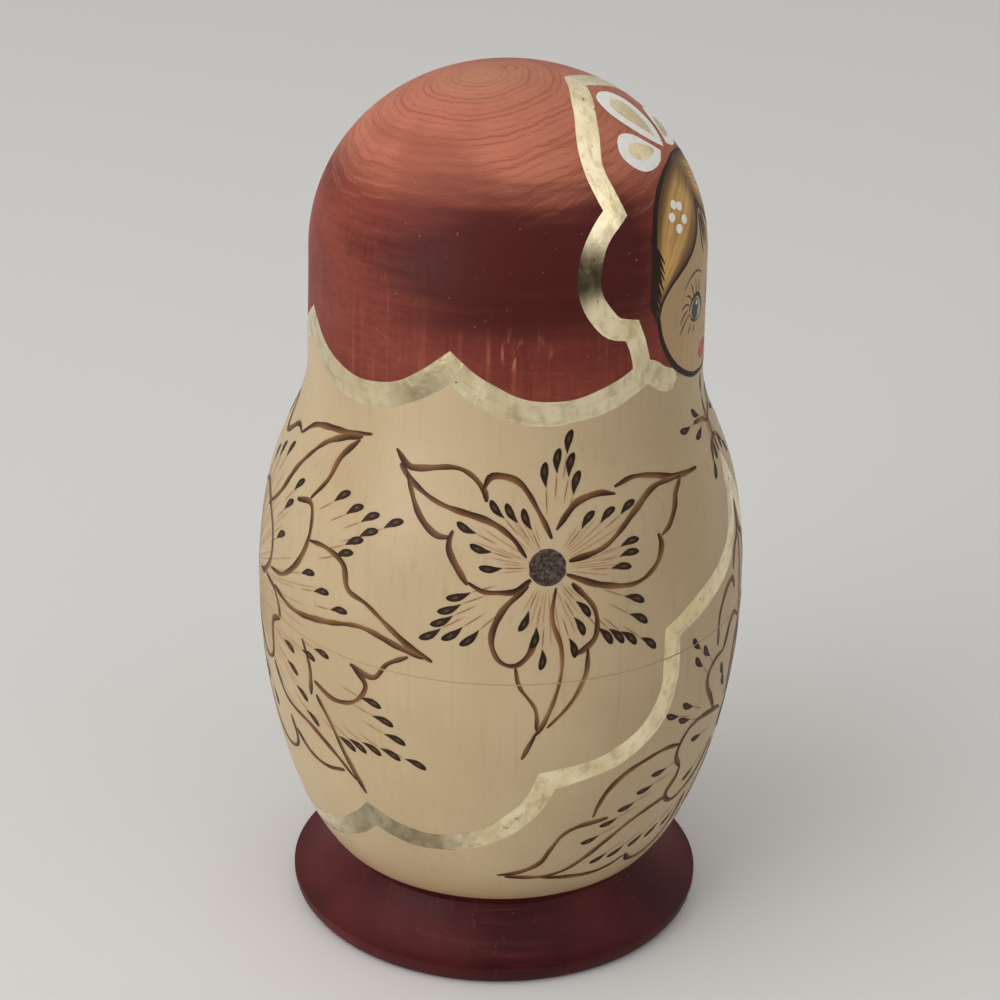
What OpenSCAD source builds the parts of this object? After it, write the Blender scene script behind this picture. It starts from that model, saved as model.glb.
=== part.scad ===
// Matryoshka: a set of turned limewood dolls, each standing inside the next larger one.
// Every doll but the smallest is hollow and parts at its girth into a lower and an upper half.
// All dolls are turned to one outline, at sizes that step down until each fits the hollow it stands in.
// Millimetres, +Z up, origin at the centre of the largest doll's foot, on the table.

/* [Base] */
// Radius of the foot that stands on the table
foot_radius = 41; // [38:0.5:42]
// Radius of the base at its edge
base_radius = 43.4; // [42.6:0.2:46]
// Height of the base's edge above the table
base_edge_height = 3.9; // [3:0.1:6]
// How far the flare runs flat, in from the edge
flare_reach = 4; // [2:0.5:7]
// How far the flare runs upright, below the waist
flare_rise = 3; // [2:0.5:6]
// Radius of the waist, where the body grows out of the base
waist_radius = 33.4; // [30:0.2:36]
// Height of the waist
waist_height = 13.8; // [12:0.2:18]

/* [Body] */
// Radius of the body at its girth
girth_radius = 49.7; // [46:0.1:54]
// Height of the girth
girth_height = 71; // [62:1:73]
// Lean of the belly from upright where it leaves the waist, in degrees
belly_lean = 52.5; // [40:0.5:65]
// How far the belly keeps that lean
belly_reach = 11.5; // [8:0.5:15]
// How far the belly runs upright, below the girth
belly_rise = 23.5; // [16:0.5:30]
// How far the shoulder runs upright, above the girth
shoulder_rise = 35.5; // [26:0.5:40]

/* [Head] */
// Radius of the neck
neck_radius = 39.3; // [35:0.1:42]
// Height of the neck
neck_height = 122; // [116:1:130]
// How far the neck runs upright, below its height
neck_drop = 15; // [8:0.5:18]
// Radius of the head at the temples
temple_radius = 39; // [35:0.1:42]
// Height of the temples
temple_height = 144; // [136:1:152]
// How far the head runs upright, above the temples
temple_rise = 18.5; // [12:0.5:22]
// Height of the crown
doll_height = 180; // [172:1:200]
// How far the crown runs flat, out from its centre
crown_reach = 24; // [16:0.5:28]

/* [Halves] */
// Thickness of the turned wall
wall = 5; // [4:0.1:6]
// Height of the seam between the halves
seam_height = 73.4; // [72:0.1:80]
// Thickness of the upper half's rim, round the lip
rim_wall = 2.6; // [2:0.1:3]
// Thickness of the lower half's lip
lip_wall = 2.3; // [1.8:0.1:3]
// Height of the lip above the seam
lip_height = 6; // [4:0.5:9]
// Clearance between the lip and the rim round it
lip_gap = 0.1; // [0.05:0.01:0.2]
// Clearance above the lip
lip_end_gap = 0.5; // [0.3:0.1:1]
// Width of the broken edges along the seam and the lip
edge_break = 0.25; // [0.1:0.05:0.4]

/* [Nesting] */
// Height of the hollow's floor
floor_height = 24; // [22:0.5:28]
// Clearance round the body of the doll that stands inside, and above it
nest_gap = 3.4; // [2:0.1:5]
// Clearance round its base
base_gap = 1.3; // [0.8:0.1:3]

/* [Hidden] */

bare_wood = [0.87, 0.78, 0.62];
red_stain = [0.55, 0.21, 0.17];

// Straight runs that each curve of the base, the body and the hollow is drawn with
base_steps = 6;
body_steps = 12;
hollow_steps = 6;
// The head is nearly straight between neck and temples, so it takes a share of these
cheek_share = 1 / 3;

// A curve is a start, two pulls and an end, each as [radius, height]
foot = [foot_radius, 0];
edge = [base_radius, base_edge_height];
waist = [waist_radius, waist_height];
girth = [girth_radius, girth_height];
neck = [neck_radius, neck_height];
temple = [temple_radius, temple_height];
crown = [0, doll_height];
head_pull = (temple_height - neck_height) / 3;

// The base rounds out from the foot to its edge, then sweeps in to the waist
rounding = [foot, [base_radius, 0], edge, edge];
flare = [edge, edge - [flare_reach, 0], waist - [0, flare_rise], waist];
// The body swells from the waist to the girth, then draws in over the shoulder to the neck
belly = [waist, waist + belly_reach * [sin(belly_lean), cos(belly_lean)], girth - [0, belly_rise], girth];
shoulder = [girth, girth + [0, shoulder_rise], neck - [0, neck_drop], neck];
// The head rises nearly straight to the temples and closes in a dome
cheek = [neck, neck + [0, head_pull], temple - [0, head_pull], temple];
dome = [temple, temple + [0, temple_rise], crown + [crown_reach, 0], crown];

function along(c, t) =
    pow(1 - t, 3) * c[0] + 3 * pow(1 - t, 2) * t * c[1] + 3 * (1 - t) * t * t * c[2] + pow(t, 3) * c[3];
function heading(c, t) =
    pow(1 - t, 2) * (c[1] - c[0]) + 2 * (1 - t) * t * (c[2] - c[1]) + t * t * (c[3] - c[2]);
function inside(c, t) =
    let (h = heading(c, t))
    along(c, t) + wall * [-h[1], h[0]] / norm(h);
// A curve's points but its last, on the outline and on the hollow's side of the wall
function outer_run(c, steps) = [for (i = [0 : steps - 1]) along(c, i / steps)];
function inner_run(c, steps) = [for (i = [0 : steps - 1]) inside(c, i / steps)];

base_outline = concat(outer_run(rounding, base_steps), outer_run(flare, base_steps));
body_outline = concat(
    outer_run(belly, body_steps),
    outer_run(shoulder, body_steps),
    outer_run(cheek, body_steps * cheek_share),
    outer_run(dome, body_steps)
);
hollow_outline = concat(
    inner_run(belly, hollow_steps),
    inner_run(shoulder, hollow_steps),
    inner_run(cheek, hollow_steps * cheek_share),
    inner_run(dome, hollow_steps)
);
hollow_top = doll_height - wall;

// The same outlines as tables, to read a radius at a height
body_radius_at = [for (p = body_outline) [p[1], p[0]]];
hollow_radius_at = concat([for (p = hollow_outline) [p[1], p[0]]], [[hollow_top, 0]]);
hollow_height_at = [for (p = hollow_outline) if (p[1] < girth_height) p];

seam_radius = lookup(seam_height, body_radius_at);
floor_radius = lookup(floor_height, hollow_radius_at);
lip_top = seam_height + lip_height;
lip_hollow_radius = seam_radius - rim_wall - lip_gap - lip_wall;

// Room round the axis at a height, with the halves closed
function room(z) =
    let (r = lookup(z, hollow_radius_at))
    z > lip_top ? r : min(r, lip_hollow_radius);
// True where a doll of size k, standing on the hollow's floor, has its body clear all round and above
function clears(k) =
    floor_height + k * doll_height + nest_gap <= hollow_top
    && min([for (p = body_outline) room(floor_height + k * p[1]) - k * p[0]]) >= nest_gap;
// Each doll is the largest, of the sizes tried, that its neighbour's hollow takes
sizes_tried = [0.5 : 0.005 : 0.9];
nest_ratio = max([for (k = sizes_tried) if (clears(k)) k]);
// The base of a doll that stands inside is turned no wider than the hollow round it lets it stand
function base_room(z) = (room(floor_height + nest_ratio * z) - base_gap) / nest_ratio;
nested_base = [for (p = base_outline) [min(p[0], base_room(p[1])), p[1]]];
function base_side(doll) = doll == 0 ? base_outline : nested_base;

// Dolls are counted inwards from the largest, which is number 0
function size(doll) = pow(nest_ratio, doll);
function stand(doll) = doll == 0 ? 0 : stand(doll - 1) + size(doll - 1) * floor_height;

// Lower half: the base, the belly and a thin lip that enters the upper half
module lower_half(doll) {
    k = size(doll);
    seam = k * seam_height;
    outer = k * seam_radius;
    lip = k * (seam_radius - rim_wall) - lip_gap;
    hollow = lip - k * lip_wall;
    floor = k * floor_height;
    base = k * base_side(doll);
    belly_side = [for (p = body_outline) if (k * p[1] < seam - edge_break) k * p];
    seat = [[outer, seam - edge_break], [outer - edge_break, seam], [lip, seam]];
    lip_end = [[lip, k * lip_top - edge_break], [lip - edge_break, k * lip_top], [hollow, k * lip_top]];
    lip_foot = [[hollow, k * lookup(hollow / k, hollow_height_at)]];
    wall_points = [for (p = hollow_height_at) if (k * p[1] > floor && k * p[0] < hollow) k * p];
    hollow_side = [for (i = [len(wall_points) - 1 : -1 : 0]) wall_points[i]];
    floor_points = [[k * floor_radius, floor], [0, floor]];
    translate([0, 0, stand(doll)])
        rotate_extrude()
            polygon(concat([[0, 0]], base, belly_side, seat, lip_end, lip_foot, hollow_side, floor_points));
}

// Upper half: the shoulder and head, with a rim that seats on the lower half round its lip
module upper_half(doll) {
    k = size(doll);
    seam = k * seam_height;
    outer = k * seam_radius;
    socket = k * (seam_radius - rim_wall);
    socket_top = k * lip_top + lip_end_gap;
    rim = [[socket, seam], [outer - edge_break, seam], [outer, seam + edge_break]];
    head_side = [for (p = body_outline) if (k * p[1] > seam + edge_break) k * p];
    top = [k * crown, [0, k * hollow_top]];
    wall_points = [for (p = hollow_outline) if (k * p[1] > socket_top) k * p];
    hollow_side = [for (i = [len(wall_points) - 1 : -1 : 0]) wall_points[i]];
    socket_end = [[k * lookup(socket_top / k, hollow_radius_at), socket_top], [socket, socket_top]];
    translate([0, 0, stand(doll)])
        rotate_extrude()
            polygon(concat(rim, head_side, top, hollow_side, socket_end));
}

// Solid doll: the whole outline turned from one block
module solid_doll(doll) {
    translate([0, 0, stand(doll)])
        rotate_extrude()
            polygon(size(doll) * concat([[0, 0]], base_side(doll), body_outline, [crown]));
}

module largest_lower_half() { color(bare_wood) lower_half(0); }
module largest_upper_half() { color(red_stain) upper_half(0); }
module second_lower_half() { color(bare_wood) lower_half(1); }
module second_upper_half() { color(red_stain) upper_half(1); }
module third_lower_half() { color(bare_wood) lower_half(2); }
module third_upper_half() { color(red_stain) upper_half(2); }
module fourth_lower_half() { color(bare_wood) lower_half(3); }
module fourth_upper_half() { color(red_stain) upper_half(3); }
module smallest_doll() { color(bare_wood) solid_doll(4); }

largest_lower_half();
largest_upper_half();
second_lower_half();
second_upper_half();
third_lower_half();
third_upper_half();
fourth_lower_half();
fourth_upper_half();
smallest_doll();
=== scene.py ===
import math

import bmesh
import bpy
import numpy as np
from mathutils import Matrix, Vector


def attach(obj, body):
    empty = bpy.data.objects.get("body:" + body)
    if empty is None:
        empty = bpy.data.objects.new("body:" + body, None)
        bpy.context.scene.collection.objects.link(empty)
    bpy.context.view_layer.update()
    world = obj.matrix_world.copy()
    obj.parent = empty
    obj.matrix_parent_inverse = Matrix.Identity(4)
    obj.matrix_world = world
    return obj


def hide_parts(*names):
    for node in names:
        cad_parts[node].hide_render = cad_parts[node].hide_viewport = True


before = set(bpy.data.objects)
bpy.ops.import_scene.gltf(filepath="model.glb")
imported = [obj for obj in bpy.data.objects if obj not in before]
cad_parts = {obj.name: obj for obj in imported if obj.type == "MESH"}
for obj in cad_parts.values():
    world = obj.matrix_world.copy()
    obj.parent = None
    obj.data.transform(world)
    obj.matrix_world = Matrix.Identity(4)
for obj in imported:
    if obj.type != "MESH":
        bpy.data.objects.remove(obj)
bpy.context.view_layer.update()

# Studio: a plain pale floor under a pale sky, a soft lamp at the upper left, a low one at the left
# and a weak one on the face's side. The camera looks down on the doll's right side, as the photograph does.
scene = bpy.context.scene
scene.view_settings.view_transform = "Standard"


def add_node(tree, kind, **settings):
    made = tree.nodes.new(kind)
    for name, value in settings.items():
        setattr(made, name, value)
    return made


def reckoned(tree, operation, *values, clamp=False):
    made = add_node(tree, "ShaderNodeMath", operation=operation, use_clamp=clamp)
    for entry, value in enumerate(values):
        if isinstance(value, bpy.types.NodeSocket):
            tree.links.new(value, made.inputs[entry])
        else:
            made.inputs[entry].default_value = value
    return made.outputs[0]


bpy.ops.object.select_all(action="DESELECT")
bpy.ops.mesh.primitive_plane_add(size=60)
floor = bpy.context.object
floor.name = "studio_floor"
floor_paint = bpy.data.materials.new("pale_floor")
floor_paint.use_nodes = True
floor_shader = floor_paint.node_tree.nodes["Principled BSDF"]
floor_shader.inputs["Base Color"].default_value = (0.77, 0.76, 0.745, 1)
floor_shader.inputs["Roughness"].default_value = 0.7
floor.data.materials.append(floor_paint)

sky = bpy.data.worlds.new("pale_sky")
sky.use_nodes = True
scene.world = sky
sky_tree = sky.node_tree
sky_light = sky_tree.nodes["Background"]
sky_light.inputs["Color"].default_value = (1.0, 0.985, 0.96, 1)
sky_way = add_node(sky_tree, "ShaderNodeSeparateXYZ")
sky_tree.links.new(add_node(sky_tree, "ShaderNodeTexCoord").outputs["Generated"], sky_way.inputs["Vector"])
sky_level = add_node(sky_tree, "ShaderNodeMix")
for sky_use, low, high, dim, bright in (("A", 0.0, 0.95, 0.14, 0.68), ("B", 0.1, 0.9, 0.48, 1.0)):
    sky_rise = add_node(sky_tree, "ShaderNodeMapRange", interpolation_type="SMOOTHSTEP")
    for entry, number in (("From Min", low), ("From Max", high), ("To Min", dim), ("To Max", bright)):
        sky_rise.inputs[entry].default_value = number
    sky_tree.links.new(sky_way.outputs["Z"], sky_rise.inputs["Value"])
    sky_tree.links.new(sky_rise.outputs["Result"], sky_level.inputs[sky_use])
sky_rays = add_node(sky_tree, "ShaderNodeLightPath").outputs
sky_seen = reckoned(sky_tree, "ADD", sky_rays["Is Camera Ray"], sky_rays["Is Glossy Ray"])
sky_seen = reckoned(sky_tree, "ADD", sky_seen, sky_rays["Is Transmission Ray"], clamp=True)
sky_tree.links.new(sky_seen, sky_level.inputs["Factor"])
sky_tree.links.new(sky_level.outputs["Result"], sky_light.inputs["Strength"])

lamps_aim = Vector((0, 0, 0.1))
for lamp_name, lamp_place, lamp_size, lamp_power in (
    ("window_lamp", (-0.55, 0.62, 1.05), 1.1, 4.8),
    ("front_lamp", (-0.55, -1.25, 0.85), 1.2, 2.0),
    ("low_lamp", (-1.1, 0.75, 0.20), 0.9, 9.4),
):
    bpy.ops.object.light_add(type="AREA", location=lamp_place)
    lamp = bpy.context.object
    lamp.name = lamp_name
    lamp.data.size = lamp_size
    lamp.data.energy = lamp_power
    lamp.rotation_euler = (lamps_aim - lamp.location).to_track_quat("-Z", "Y").to_euler()

camera_side = math.radians(-77)
camera_far, camera_height = 0.5, 0.322
camera_bearing = math.radians(-77 + 0.052)
camera_dip = math.radians(24.977)
camera_roll = math.radians(1.261)
bpy.ops.object.camera_add()
camera = bpy.context.object
camera.name = "photo_camera"
camera.data.lens = 97.19
camera.data.sensor_width = 36
camera.data.clip_start = 0.02
camera.data.clip_end = 40
camera.matrix_world = (
    Matrix.Translation((camera_far * math.sin(camera_side), -camera_far * math.cos(camera_side), camera_height))
    @ Matrix.Rotation(camera_bearing, 4, "Z")
    @ Matrix.Rotation(math.pi / 2 - camera_dip, 4, "X")
    @ Matrix.Rotation(camera_roll, 4, "Z")
)
scene.camera = camera


# Lower halves: bowls of pale limewood, turned in one piece with a flared base that is stained maroon.
# A thin lip stands inside the seam and enters the upper half. Lacquered outside, bare from the gouge inside.
# Each doll has the next larger one's outline at 0.785 of its size, and stands on the floor of its hollow.
doll_names = ["largest", "second", "third", "fourth", "smallest"]
hollow_floor = 24.0
nest_ratio = 0.785
doll_sizes = [nest_ratio**doll for doll in range(5)]
doll_stands = [sum(hollow_floor * k for k in doll_sizes[:doll]) for doll in range(5)]
lathe_steps = [192, 160, 144, 128, 128]
wall = 5.0
seam_height = 73.4
rim_wall, lip_wall, lip_rise, lip_gap = 2.6, 2.3, 6.0, 0.1
edge_break, lip_break, lip_end_gap = 0.12, 0.25, 0.5
stain_height = 16.2
foot, edge, waist, girth = (41, 0), (43.4, 3.9), (33.4, 13.8), (49.7, 71)
neck, temple, crown = (39.3, 122), (39, 144), (0, 180)
hollow_top = crown[1] - wall
row_gap, hollow_gap = 1.3, 2.6


def swept(start, pull, push, end, count):
    t = np.linspace(0, 1, count)[:, None]
    start, pull, push, end = (np.array(p, float) for p in (start, pull, push, end))
    return (1 - t) ** 3 * start + 3 * (1 - t) ** 2 * t * pull + 3 * (1 - t) * t * t * push + t**3 * end


belly_lean, belly_reach = math.radians(52.5), 11.5
belly_pull = (waist[0] + belly_reach * math.sin(belly_lean), waist[1] + belly_reach * math.cos(belly_lean))
rounding_steps, flare_steps, cheek_steps, long_steps = 40, 60, 60, 200
outline = np.vstack([
    swept(foot, (43.4, 0), edge, edge, rounding_steps),
    swept(edge, (39.4, 3.9), (33.4, 10.8), waist, flare_steps)[1:],
    swept(waist, belly_pull, (49.7, 47.5), girth, long_steps)[1:],
    swept(girth, (49.7, 106.5), (39.3, 107), neck, long_steps)[1:],
    swept(neck, (39.3, 129.33), (39, 136.67), temple, cheek_steps)[1:],
    swept(temple, (39, 162.5), (24, 180), crown, long_steps)[1:],
])
waist_at = rounding_steps + flare_steps - 2
# Places on a doll are told in degrees round it from the face and millimetres up the outline from the waist
outline_run = np.concatenate([[0], np.cumsum(np.hypot(*np.diff(outline, axis=0).T))])
outline_run -= outline_run[waist_at]
outline_lean = np.gradient(outline, outline_run, axis=0)
outline_lean /= np.linalg.norm(outline_lean, axis=1)[:, None]
hollow_line = (outline + wall * np.column_stack([-outline_lean[:, 1], outline_lean[:, 0]]))[waist_at:]
belly_wall, seam_wall = hollow_line[:60], hollow_line[120:320]
seam_run = np.interp(seam_height, outline[waist_at:, 1], outline_run[waist_at:])
seam_radius = np.interp(seam_run, outline_run, outline[:, 0])


def radius_at(run):
    return np.interp(run, outline_run, outline[:, 0])


def height_at(run):
    return np.interp(run, outline_run, outline[:, 1])


def outline_rows(low, high, spacing):
    run = np.linspace(low, high, int(round((high - low) / spacing)) + 1)
    return np.column_stack([radius_at(run), height_at(run)])


def hollow_rows(low, high, widest, spacing):
    run = np.concatenate([[0], np.cumsum(np.hypot(*np.diff(hollow_line, axis=0).T))])
    even = np.linspace(0, run[-1], int(run[-1] / spacing))
    rows = np.column_stack([np.interp(even, run, hollow_line[:, 0]), np.interp(even, run, hollow_line[:, 1])])
    return rows[(rows[:, 1] > low) & (rows[:, 1] < high) & (rows[:, 0] < widest)]


def turned(name, doll, rows):
    k = doll_sizes[doll]
    bpy.ops.object.select_all(action="DESELECT")
    bpy.ops.mesh.primitive_circle_add(vertices=len(rows), radius=0.01)
    made = bpy.context.object
    made.name = name
    made.data.name = name
    place = np.column_stack([rows[:, 0], np.zeros(len(rows)), rows[:, 1] + doll_stands[doll]]) / 1000
    made.data.vertices.foreach_set("co", place.ravel())
    ends = {0, len(rows) - 1}
    bpy.ops.object.mode_set(mode="EDIT")
    bpy.ops.mesh.select_mode(type="EDGE")
    bpy.ops.mesh.select_all(action="DESELECT")
    bpy.ops.object.mode_set(mode="OBJECT")
    for edge in made.data.edges:
        edge.select = set(edge.vertices) == ends
    bpy.ops.object.mode_set(mode="EDIT")
    bpy.ops.mesh.delete(type="EDGE_FACE")
    bpy.ops.mesh.select_all(action="SELECT")
    bpy.ops.mesh.spin(steps=lathe_steps[doll], angle=2 * math.pi, center=(0, 0, 0), axis=(0, 0, 1))
    bpy.ops.mesh.select_all(action="SELECT")
    bpy.ops.mesh.remove_doubles(threshold=0.000002)
    bpy.ops.mesh.normals_make_consistent(inside=False)
    bpy.ops.object.mode_set(mode="OBJECT")
    bpy.ops.object.shade_smooth_by_angle(angle=math.radians(35))
    place = np.empty(len(made.data.vertices) * 3)
    made.data.vertices.foreach_get("co", place)
    place = place.reshape(-1, 3) * 1000
    across = np.hypot(place[:, 0], place[:, 1])
    height, bearing = (place[:, 2] - doll_stands[doll]) / k, np.degrees(np.arctan2(place[:, 0], -place[:, 1]))
    return made, across / k, height, bearing


def mark(made, name, values):
    made.data.attributes.new(name, "FLOAT", "POINT").data.foreach_set("value", np.asarray(values, np.float32))


def mixed(tree, amount, first, second, kind="MIX"):
    made = add_node(tree, "ShaderNodeMix", data_type="RGBA", blend_type=kind)
    for entry, value in ((0, amount), (6, first), (7, second)):
        if isinstance(value, bpy.types.NodeSocket):
            tree.links.new(value, made.inputs[entry])
        else:
            made.inputs[entry].default_value = value if entry == 0 else (*value, 1)
    return made.outputs[2]


def spread(tree, value, low, high, start=0.0, end=1.0):
    made = add_node(tree, "ShaderNodeMapRange", interpolation_type="SMOOTHSTEP")
    tree.links.new(value, made.inputs["Value"])
    for name, number in (("From Min", low), ("From Max", high), ("To Min", start), ("To Max", end)):
        made.inputs[name].default_value = number
    return made.outputs["Result"]


def speckled(tree, place, scale, detail=2.0, stretch=None):
    if stretch:
        turn = add_node(tree, "ShaderNodeMapping")
        turn.inputs["Scale"].default_value = stretch
        tree.links.new(place, turn.inputs["Vector"])
        place = turn.outputs["Vector"]
    made = add_node(tree, "ShaderNodeTexNoise")
    made.inputs["Scale"].default_value = scale
    made.inputs["Detail"].default_value = detail
    tree.links.new(place, made.inputs["Vector"])
    return made.outputs["Fac"]


# The grain that the wood finishes share: rings round a pith beside the axis, fibre up the doll, lathe lines
lime_grain = bpy.data.node_groups.new("lime_grain", "ShaderNodeTree")
for socket in (
    "Rings", "Fibre", "Mottle", "End grain", "Lathe lines", "Brush", "Scuffs", "Dust", "Fine", "Pith",
):
    lime_grain.interface.new_socket(socket, in_out="OUTPUT", socket_type="NodeSocketFloat")
grain_out = add_node(lime_grain, "NodeGroupOutput")
grain_place = add_node(lime_grain, "ShaderNodeTexCoord").outputs
pith = add_node(lime_grain, "ShaderNodeMapping")
pith.inputs["Location"].default_value = (0.005, -0.0045, 0)
pith.inputs["Rotation"].default_value = (0.03, -0.03, 0)
pith.inputs["Scale"].default_value = (1, 1, 0)
lime_grain.links.new(grain_place["Object"], pith.inputs["Vector"])
ring_sum = 0.0
for ring_scale, ring_bend, ring_share in ((64, 4.0, 0.28), (230, 9.0, 0.42), (540, 16.0, 0.30)):
    rings = add_node(lime_grain, "ShaderNodeTexWave", wave_type="RINGS", rings_direction="Z")
    for entry, number in (
        ("Scale", ring_scale), ("Distortion", ring_bend), ("Detail", 3), ("Detail Scale", 0.25),
    ):
        rings.inputs[entry].default_value = number
    lime_grain.links.new(pith.outputs["Vector"], rings.inputs["Vector"])
    ring_sum = reckoned(lime_grain, "MULTIPLY_ADD", rings.outputs["Fac"], ring_share, ring_sum)
pith_far = add_node(lime_grain, "ShaderNodeVectorMath", operation="LENGTH")
lime_grain.links.new(pith.outputs["Vector"], pith_far.inputs[0])
facing = add_node(lime_grain, "ShaderNodeSeparateXYZ")
lime_grain.links.new(grain_place["Normal"], facing.inputs["Vector"])
end_on = spread(lime_grain, reckoned(lime_grain, "ABSOLUTE", facing.outputs["Z"]), 0.1, 0.8)
for socket, value in (("Rings", ring_sum), ("Pith", pith_far.outputs["Value"]), ("End grain", end_on)):
    lime_grain.links.new(value, grain_out.inputs[socket])
for socket, scale, detail, stretch in (
    ("Fine", 1.0, 3.0, (420, 420, 1500)),
    ("Lathe lines", 1.0, 3.0, (38, 38, 620)),
    ("Fibre", 1.0, 3.0, (900, 900, 26)),
    ("Mottle", 34, 3.0, None),
    ("Brush", 1.0, 4.0, (30, 30, 75)),
    ("Scuffs", 1.0, 2.0, (800, 800, 170)),
    ("Dust", 1250, 1.0, None),
):
    specks = speckled(lime_grain, grain_place["Object"], scale, detail, stretch)
    lime_grain.links.new(specks, grain_out.inputs[socket])


def new_finish(name):
    made = bpy.data.materials.new(name)
    made.use_nodes = True
    return made, made.node_tree, made.node_tree.nodes["Principled BSDF"]


def grained(tree):
    return add_node(tree, "ShaderNodeGroup", node_tree=lime_grain).outputs


def over(tree, surface, value, low, high, share, colour):
    return mixed(tree, spread(tree, value, low, high, 0, share), surface, colour)


def both(tree, first, second):
    return reckoned(tree, "MULTIPLY", first, second)


def swayed(tree, value, amount, level):
    return reckoned(tree, "MULTIPLY_ADD", reckoned(tree, "SUBTRACT", value, 0.5), amount, level)


def finished(tree, shader, colour, roughness, gloss, height, strength, depth):
    tree.links.new(colour, shader.inputs["Base Color"])
    tree.links.new(roughness, shader.inputs["Roughness"])
    shader.inputs["Specular IOR Level"].default_value = gloss
    bump = add_node(tree, "ShaderNodeBump")
    bump.inputs["Strength"].default_value = strength
    bump.inputs["Distance"].default_value = depth
    tree.links.new(height, bump.inputs["Height"])
    tree.links.new(bump.outputs["Normal"], shader.inputs["Normal"])


def painted_value(tree, name):
    return add_node(tree, "ShaderNodeAttribute", attribute_name=name).outputs["Fac"]


# The lacquered outside: bare limewood, red stain where the scarf is, brown to black where it is burnt
lacquered, tree, shader = new_finish("lacquered_limewood")
grain = grained(tree)
wood = mixed(tree, spread(tree, grain["Mottle"], 0.3, 0.7), (0.465, 0.343, 0.196), (0.535, 0.404, 0.242))
wood = over(tree, wood, grain["Fibre"], 0.52, 0.8, 0.34, (0.37, 0.26, 0.14))
wood = over(tree, wood, grain["Lathe lines"], 0.58, 0.8, 0.10, (0.40, 0.29, 0.16))
wood = over(tree, wood, grain["Fine"], 0.5, 0.8, 0.10, (0.40, 0.29, 0.16))
stain = mixed(tree, spread(tree, grain["Brush"], 0.34, 0.66), (0.166, 0.029, 0.020), (0.246, 0.051, 0.032))
broken = spread(tree, grain["Mottle"], 0.34, 0.62)
end_grain = grain["End grain"]
# Faces that look up get a lighter, pinker stain: a painted highlight of the light from above on the crown.
crown_painted_highlight = both(tree, spread(tree, end_grain, 0.55, 1.0), spread(tree, broken, 0, 1, 0.5, 1.0))
stain = mixed(tree, crown_painted_highlight, stain, (0.520, 0.172, 0.102))
heart_pale = both(tree, spread(tree, grain["Pith"], 0.015, 0.003), spread(tree, end_grain, 0.3, 0.9))
heart_pale = both(tree, heart_pale, spread(tree, grain["Brush"], 0.40, 0.60, 0.1, 0.8))
stain = mixed(tree, heart_pale, stain, (0.54, 0.23, 0.125))
ring_depth = both(tree, spread(tree, end_grain, 0, 1, 0.04, 0.40), spread(tree, broken, 0, 1, 0.35, 1.0))
ring_dark = both(tree, spread(tree, grain["Rings"], 0.45, 0.15), ring_depth)
stain = mixed(tree, ring_dark, stain, (0.165, 0.028, 0.018))
ring_light = both(tree, spread(tree, grain["Rings"], 0.60, 0.92), ring_depth)
stain = mixed(tree, ring_light, stain, (0.52, 0.21, 0.13))
stain = over(tree, stain, grain["Lathe lines"], 0.56, 0.80, 0.34, (0.36, 0.092, 0.052))
side_grain = spread(tree, end_grain, 0.15, 0.65, 1.0, 0.0)
fibre_light = both(tree, side_grain, spread(tree, grain["Fibre"], 0.54, 0.76, 0, 0.42))
stain = mixed(tree, fibre_light, stain, (0.36, 0.100, 0.055))
fibre_dark = both(tree, side_grain, spread(tree, grain["Fibre"], 0.46, 0.28, 0, 0.42))
stain = mixed(tree, fibre_dark, stain, (0.110, 0.017, 0.012))
fine_dark = spread(tree, grain["Fine"], 0.50, 0.72, 0, 0.32)
fine_dark = both(tree, fine_dark, spread(tree, side_grain, 0, 1, 0.3, 1.0))
stain = mixed(tree, fine_dark, stain, (0.105, 0.018, 0.013))
stain = over(tree, stain, grain["Fine"], 0.48, 0.26, 0.16, (0.30, 0.080, 0.050))
# The stain is darker in a blotchy patch on each side beside the face and next to the gold frame.
dark_patch_edge = swayed(tree, grain["Brush"], 1.15, painted_value(tree, "darker_beside_face"))
dark_patch_edge = swayed(tree, grain["Lathe lines"], 0.6, dark_patch_edge)
darker_beside_face = spread(tree, dark_patch_edge, 0.14, 0.95, 0, 0.96)
stain = mixed(tree, darker_beside_face, stain, (0.066, 0.0085, 0.0075))
stain = over(tree, stain, grain["Dust"], 0.74, 0.80, 0.45, (0.42, 0.19, 0.13))
scuffed = both(tree, painted_value(tree, "worn"), spread(tree, grain["Scuffs"], 0.57, 0.67))
stain = mixed(tree, scuffed, stain, (0.44, 0.165, 0.078))
surface = mixed(tree, painted_value(tree, "stain"), wood, stain)
# This darkening is the burnt lines, and also the thin painted shade along the seam.
burn_tarnish_and_painted_shade = painted_value(tree, "burn_tarnish_and_painted_shade")
burn_tones = add_node(tree, "ShaderNodeValToRGB")
burn_tones.color_ramp.elements[0].position = 0.2
burn_tones.color_ramp.elements[0].color = (0.40, 0.22, 0.095, 1)
burn_tones.color_ramp.elements[1].color = (0.018, 0.010, 0.006, 1)
burn_tones.color_ramp.elements.new(0.52).color = (0.185, 0.085, 0.032, 1)
burn_tones.color_ramp.elements.new(0.78).color = (0.062, 0.027, 0.012, 1)
tree.links.new(swayed(tree, grain["Mottle"], 0.35, burn_tarnish_and_painted_shade), burn_tones.inputs["Fac"])
surface = mixed(tree, spread(tree, burn_tarnish_and_painted_shade, 0.02, 0.42), surface, burn_tones.outputs["Color"])
coloured = reckoned(tree, "MAXIMUM", painted_value(tree, "stain"), burn_tarnish_and_painted_shade)
tree.links.new(spread(tree, coloured, 0.0, 0.4, 0.30, 0.0), shader.inputs["Coat Weight"])
shader.inputs["Coat Roughness"].default_value = 0.34
burnt_in = reckoned(tree, "MULTIPLY_ADD", burn_tarnish_and_painted_shade, -0.8, grain["Fibre"])
lacquer_sheen = spread(tree, grain["Fibre"], 0.3, 0.8, 0.44, 0.56)
finished(tree, shader, surface, lacquer_sheen, 0.14, burnt_in, 0.18, 0.00012)

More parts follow.
